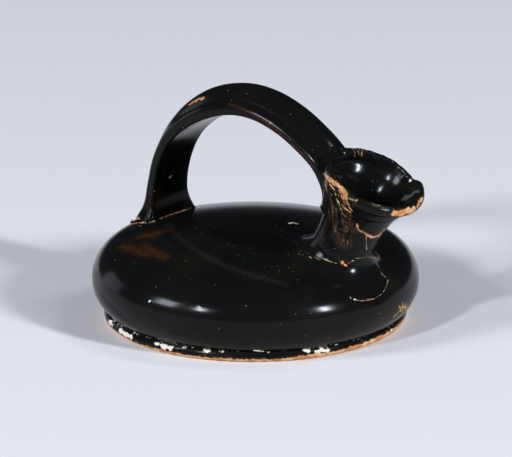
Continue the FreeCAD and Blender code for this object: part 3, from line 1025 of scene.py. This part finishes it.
def linear(code: str) -> tuple[float, float, float, float]:
    """An sRGB hex colour as linear red, green, blue and full alpha."""
    shares = [int(code[start:start + 2], 16) / 255 for start in (1, 3, 5)]
    red, green, blue = (
        share / 12.92 if share <= 0.04045 else ((share + 0.055) / 1.055) ** 2.4 for share in shares
    )
    return red, green, blue, 1.0


def cleared(owner: bpy.types.ID) -> bpy.types.NodeTree:
    """The empty node tree of a material or world."""
    owner.use_nodes = True
    owner.node_tree.nodes.clear()
    return owner.node_tree


def add_node(tree: bpy.types.NodeTree, kind: str, values: dict | None = None,
             **settings: str) -> bpy.types.Node:
    """Add a node to a tree with its settings, and set or link its inputs.

    Args:
        tree: The node tree.
        kind: Blender's name for the node's type.
        values: Inputs by name or number, each a value or another node's output socket.
        settings: Properties of the node by name.

    Returns:
        The new node.
    """
    node = tree.nodes.new(kind)
    for key, value in settings.items():
        setattr(node, key, value)
    for key, value in (values or {}).items():
        if isinstance(value, Socket):
            tree.links.new(value, node.inputs[key])
        else:
            node.inputs[key].default_value = value
    return node


@dataclass(frozen=True)
class WornOrReflectedLook:
    """How a kind of wear or painted reflection shows: how far noise moves its outline, how soft that is, and
    how strong it is.
    """

    kind: WearAndReflection
    colour: str
    ragged_mm: float
    soft_mm: float
    strength: float = 1.0


@dataclass(frozen=True)
class SpeckLook:
    """How specks show: the size of their cells, their radius as a share of it, and a cell's least lot."""

    cell_mm: float
    radius: float
    least_lot: float
    soft: float = 0.02


@dataclass(frozen=True)
class StreakLook:
    """How streaks down the neck show: their width, the noise at which they start and end, their strength."""

    colour: str
    width_mm: float
    low: float
    high: float
    strength: float
    drawn_out: float = 8.0
    tilt: float = 26.0


class PatternNodes:
    """Adds the patterns of one finish to its node tree. Most give a share from 0 to 1."""

    def __init__(self, tree: bpy.types.NodeTree, coordinates: str = "Object") -> None:
        """Start from coordinates. In an object's own a pattern's size is its real size."""
        self.tree = tree
        self.place = add_node(tree, "ShaderNodeTexCoord").outputs[coordinates]

    def math_of(self, kind: str, first: Socket | float, second: Socket | float) -> Socket:
        """One sum on two values."""
        return add_node(self.tree, "ShaderNodeMath", {0: first, 1: second}, operation=kind).outputs[0]

    def product(self, first: Socket | float, second: Socket | float) -> Socket:
        """Two shares multiplied."""
        return self.math_of("MULTIPLY", first, second)

    def between(self, value: Socket, low: float, high: float, top: float = 1.0) -> Socket:
        """A share that eases from 0 at low to top at high."""
        values = {0: value, 1: low, 2: high, 3: 0.0, 4: top}
        return add_node(self.tree, "ShaderNodeMapRange", values, interpolation_type="SMOOTHSTEP").outputs[0]

    def noise(self, size_mm: float, detail: float, place: Socket | None = None) -> Socket:
        """Noise with features of a size."""
        return add_node(self.tree, "ShaderNodeTexNoise", {
            "Vector": self.place if place is None else place, "Scale": 1 / (size_mm * MM), "Detail": detail,
        }).outputs[0]

    def worn(self, look: WornOrReflectedLook, ragged: Socket) -> Socket:
        """Share of a kind of wear or painted reflection: its strength inside its outline, which noise moves
        in and out.
        """
        distance = add_node(self.tree, "ShaderNodeAttribute", attribute_name=look.kind.value).outputs["Fac"]
        moved = self.math_of("ADD", distance, self.product(ragged, look.ragged_mm))
        return self.between(moved, look.soft_mm, -look.soft_mm, look.strength)

    def specks(self, look: SpeckLook, mottle_mm: float) -> Socket:
        """Small round specks, one in each cell whose lot is high enough."""
        cell = add_node(self.tree, "ShaderNodeTexVoronoi", {
            "Vector": self.place, "Scale": 1 / (look.cell_mm * MM),
        })
        lot = self.math_of("ADD", self.noise(mottle_mm, 1.0), cell.outputs["Color"])
        dot = self.between(cell.outputs["Distance"], look.radius + look.soft, look.radius - look.soft)
        return self.product(dot, self.between(lot, look.least_lot, look.least_lot + 0.05))

    def streaks(self, look: StreakLook) -> Socket:
        """Noise that is drawn out along the slanting neck."""
        turned = add_node(self.tree, "ShaderNodeMapping", {
            "Vector": self.place, "Rotation": (0.0, -math.radians(look.tilt), 0.0),
            "Scale": (1.0, 1.0, 1 / look.drawn_out),
        }).outputs[0]
        return self.between(self.noise(look.width_mm, 3.0, turned), look.low, look.high)

    def layered(self, under: Socket | str, over: Socket | str, share: Socket) -> Socket:
        """One colour laid over another by a share. Each is a socket or an sRGB hex value."""
        under, over = (linear(colour) if isinstance(colour, str) else colour for colour in (under, over))
        values = {0: share, 6: under, 7: over}
        return add_node(self.tree, "ShaderNodeMix", values, data_type="RGBA").outputs[2]


@dataclass(frozen=True)
class GlossedClay:
    """Fired clay under a thin black slip gloss: near black, softly shining, with a faint grain.

    Where the gloss is chipped the clay shows orange and matt. Colours are sRGB hex values and
    pattern sizes are millimetres.
    """

    slip: str = "#0D0E0E"
    slip_brown: str = "#161610"
    # A painted reflection: a soft lighter grey band laid into the slip's colour.
    reflection_band_look: WornOrReflectedLook = WornOrReflectedLook(WearAndReflection.PAINTED_BAND, "#2B2C26", 2.4, 1.5, 0.45)
    reddened: WornOrReflectedLook = WornOrReflectedLook(WearAndReflection.REDDENED, "#4A2A10", 6.0, 2.9, 0.9)
    # A painted reflection: a grey-green sheen laid into the slip's colour.
    painted_sheen_look: WornOrReflectedLook = WornOrReflectedLook(WearAndReflection.PAINTED_SHEEN, "#59605A", 2.0, 0.5, 0.7)
    rubbed: WornOrReflectedLook = WornOrReflectedLook(WearAndReflection.RUBBED, "#3C2216", 0.9, 0.5, 0.8)
    streaked: WornOrReflectedLook = WornOrReflectedLook(WearAndReflection.STREAKED, "#3C2B1C", 2.5, 1.4)
    brown_streaks: StreakLook = StreakLook("#3C2B1C", 1.54, 0.40, 0.62, 0.85)
    pale_streaks: StreakLook = StreakLook("#94805E", 0.7, 0.54, 0.70, 0.75)
    gold: WornOrReflectedLook = WornOrReflectedLook(WearAndReflection.GOLD, "#A8894E", 0.5, 0.10, 0.9)
    pitted: WornOrReflectedLook = WornOrReflectedLook(WearAndReflection.PITTED, "#9C9484", 3.0, 2.0)
    pits: SpeckLook = SpeckLook(1.1, 0.08, 0.96)
    specks: SpeckLook = SpeckLook(1.8, 0.055, 1.12)
    chip_edge: WornOrReflectedLook = WornOrReflectedLook(WearAndReflection.BARE, "#6A3418", 2.2, 0.55)
    bare: WornOrReflectedLook = WornOrReflectedLook(WearAndReflection.BARE, "#B07A4C", 1.7, 0.09)
    clay_pale: str = "#CFA47C"
    crack: WornOrReflectedLook = WornOrReflectedLook(WearAndReflection.CRACK, "#C2A87E", 0.3, 0.06, 0.9)
    deposit: WornOrReflectedLook = WornOrReflectedLook(WearAndReflection.DEPOSIT, "#DED6C4", 2.4, 0.12)
    ior: float = 1.20
    slip_roughness: float = 0.16
    clay_roughness: float = 0.85
    mottle_mm: float = 14.0
    ragged_mm: float = 1.1
    break_mm: float = 1.6
    clay_mm: float = 2.2
    grain_mm: float = 0.4
    grain_depth_mm: float = 0.03
    grain_strength: float = 0.2

    def material(self) -> bpy.types.Material:
        """Build the finish: the slip, then each kind of wear and each painted reflection laid over it by its
        distance.
        """
        made = bpy.data.materials.new("black_gloss_slip_on_fired_clay")
        tree = cleared(made)
        nodes = PatternNodes(tree)
        ragged = nodes.math_of("SUBTRACT", nodes.noise(self.ragged_mm, 5.0), 0.5)
        broken = nodes.between(nodes.noise(self.break_mm, 2.0), 0.36, 0.54)
        bare, deposit, gold, streaked = (
            nodes.worn(look, ragged) for look in (self.bare, self.deposit, self.gold, self.streaked)
        )
        crack = nodes.product(nodes.worn(self.crack, ragged), broken)
        brown, pale = (
            nodes.product(nodes.product(streaked, nodes.streaks(look)), look.strength)
            for look in (self.brown_streaks, self.pale_streaks)
        )
        pitted = nodes.product(nodes.worn(self.pitted, ragged), nodes.specks(self.pits, self.mottle_mm))
        speck = nodes.math_of("MAXIMUM", nodes.specks(self.specks, self.mottle_mm), pitted)
        clay_share = nodes.between(nodes.noise(self.clay_mm, 2.0), 0.4, 0.62)
        layers = (
            (self.slip_brown, nodes.between(nodes.noise(self.mottle_mm, 3.0), 0.4, 0.8)),
            # The soft band and the grey-green sheen among these are painted reflections.
            *((look.colour, nodes.worn(look, ragged)) for look in (
                self.reflection_band_look, self.reddened, self.painted_sheen_look, self.rubbed,
            )),
            (self.brown_streaks.colour, brown),
            (self.pale_streaks.colour, nodes.product(pale, broken)),
            (self.gold.colour, gold),
            (self.pitted.colour, speck),
            (self.chip_edge.colour, nodes.worn(self.chip_edge, ragged)),
            (nodes.layered(self.bare.colour, self.clay_pale, clay_share), bare),
            (self.crack.colour, crack),
            (self.deposit.colour, deposit),
        )
        colour = self.slip
        for over, share in layers:
            colour = nodes.layered(colour, over, share)
        matt = bare
        for share in (deposit, crack, gold):
            matt = nodes.math_of("MAXIMUM", matt, share)
        roughness = add_node(tree, "ShaderNodeMapRange", {
            0: matt, 1: 0.0, 2: 1.0, 3: self.slip_roughness, 4: self.clay_roughness,
        }).outputs[0]
        grain = add_node(tree, "ShaderNodeBump", {
            "Strength": self.grain_strength, "Distance": self.grain_depth_mm * MM,
            "Height": nodes.noise(self.grain_mm, 2.0),
        }).outputs[0]
        shader = add_node(tree, "ShaderNodeBsdfPrincipled", {
            "Base Color": colour, "Roughness": roughness, "Normal": grain, "IOR": self.ior,
        })
        add_node(tree, "ShaderNodeOutputMaterial", {"Surface": shader.outputs[0]})
        return made


class Askos:
    """The whole flask: the vessel's wall and the strap handle in one finish."""

    def build(self) -> list[bpy.types.Object]:
        """Make both meshes and dress them."""
        body, spout = BodyForm(), SpoutForm()
        strap = HandleGrid(body, spout).grid()
        shapes = {"vessel_wall": WallGrid(body, spout).grid(), "strap_handle": strap}
        finder = MarkFinder(PhotoView(), shapes.values())
        wear = WearAndReflectionMap([
            Mark(kind, half_width, np.array([finder.on_surface(place) for place in seen_px]))
            for kind, strokes in STROKES.items() for half_width, seen_px in strokes
        ])
        fields = {name: wear.distances(grid) for name, grid in shapes.items()}
        wear.seam(fields["strap_handle"], body.distance(strap), strap)
        finish = GlossedClay().material()
        pieces = []
        for name, grid in shapes.items():
            piece = closed_mesh(name, wear.carved(grid, fields[name]), fields[name])
            piece.data.materials.append(finish)
            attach(piece, "root")
            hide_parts("askos")
            LOG.info("%s: %d vertices", piece.name, len(piece.data.vertices))
            pieces.append(piece)
        return pieces


@dataclass(frozen=True)
class Lamp:
    """A soft rectangular lamp: place and width in metres, power in watts, and height over width."""

    name: str
    place: Triple
    width: float
    power: float
    tall: float = 1.0


@dataclass
class Studio:
    """Plain pale floor, soft lamps, a dim room and the camera, in metres."""

    lamp_colour: str = "#EEF3FF"
    floor_colour: str = "#E4E1DF"
    wall_colour: str = "#3C3E44"
    room_colour: str = "#1D1E22"
    wall_top: float = 0.10
    floor_reach: float = 8.0
    lamp_aim: float = 0.03
    sensor_width_mm: float = 36.0
    lamps: tuple[Lamp, ...] = (
        Lamp("key_lamp", (0.02, -2.22, 1.17), 0.16, 34.0, 1.6),
        Lamp("key_fill", (-1.02, -1.98, 1.12), 0.60, 38.0),
        Lamp("side_lamp", (2.32, 0.08, 1.03), 0.21, 70.0, 2.4),
        Lamp("back_lamp", (1.12, 1.30, 2.50), 0.55, 14.0),
        Lamp("left_panel", (-2.50, -0.40, 0.45), 1.05, 4.0),
    )

    def floor(self) -> None:
        """A level floor: rings of a disc, each a share of the reach from the middle."""
        turn = np.linspace(0, 2 * np.pi, 96, endpoint=False)
        reach = self.floor_reach * np.linspace(0, 1, 12)[1:] ** 2
        ring = circles(reach[:, None], 0.0, turn)
        faces = tube_faces(len(reach), len(turn))[:, ::-1]
        mesh = bpy.data.meshes.new("pale_floor")
        mesh.from_pydata(ring.reshape(-1, 3).tolist(), [], faces.tolist() + [list(range(len(turn)))])
        made = bpy.data.materials.new("matt_paper_floor")
        tree = cleared(made)
        shader = add_node(tree, "ShaderNodeBsdfDiffuse", {"Color": linear(self.floor_colour)})
        add_node(tree, "ShaderNodeOutputMaterial", {"Surface": shader.outputs[0]})
        mesh.materials.append(made)
        linked("pale_floor", mesh)

    def light(self, lamp: Lamp) -> None:
        """Hang one lamp, level and facing the middle of the object."""
        data = bpy.data.lights.new(lamp.name, "AREA")
        data.shape = "RECTANGLE"
        data.size = lamp.width
        data.size_y = lamp.width * lamp.tall
        data.energy = lamp.power
        data.color = linear(self.lamp_colour)[:3]
        position = np.array(lamp.place)
        back = unit(position - np.array([0, 0, self.lamp_aim]))
        aimed(linked(lamp.name, data), position, back, unit(np.cross([0, 0, 1.0], back)))

    def camera(self) -> None:
        """The photograph's camera, its lens aimed at the middle of the picture."""
        view = PhotoView()
        right, up, _ = view.axes()
        middle = (np.array(view.picture_px) / 2 - view.aim_px) / view.px_per_mm
        back = unit(view.eye() - view.aim() - right * middle[0] + up * middle[1])
        side = right * math.cos(view.roll) - up * math.sin(view.roll)
        data = bpy.data.cameras.new("photo_view")
        data.sensor_width = self.sensor_width_mm
        data.lens = view.focal_px * self.sensor_width_mm / view.picture_px[0]
        data.clip_end = self.floor_reach + 2.0
        camera = linked("photo_view", data)
        aimed(camera, view.eye() * MM, back, unit(side - back * (side @ back)))
        bpy.context.scene.camera = camera

    def world(self) -> None:
        """A dim room: a dark grey wall all round at the height of the view, and darker above it."""
        world = bpy.data.worlds.new("dim_room")
        tree = cleared(world)
        nodes = PatternNodes(tree, "Generated")
        height = add_node(tree, "ShaderNodeSeparateXYZ", {0: nodes.place}).outputs[2]
        share = nodes.between(height, 0.0, self.wall_top)
        colour = nodes.layered(self.wall_colour, self.room_colour, share)
        fill = add_node(tree, "ShaderNodeBackground", {"Color": colour, "Strength": 1.0})
        add_node(tree, "ShaderNodeOutputWorld", {"Surface": fill.outputs[0]})
        bpy.context.scene.world = world

    def build(self) -> None:
        """Set up floor, lamps, world and camera."""
        self.floor()
        for lamp in self.lamps:
            self.light(lamp)
            LOG.info("%s: %.0f W", lamp.name, lamp.power)
        self.world()
        self.camera()
        bpy.context.scene.view_settings.view_transform = "Standard"


def main() -> None:
    """Build the flask and its studio."""
    logging.basicConfig(level=logging.INFO, format="%(name)s %(message)s")
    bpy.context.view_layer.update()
    Askos().build()
    Studio().build()


if __name__ == "__main__":
    main()
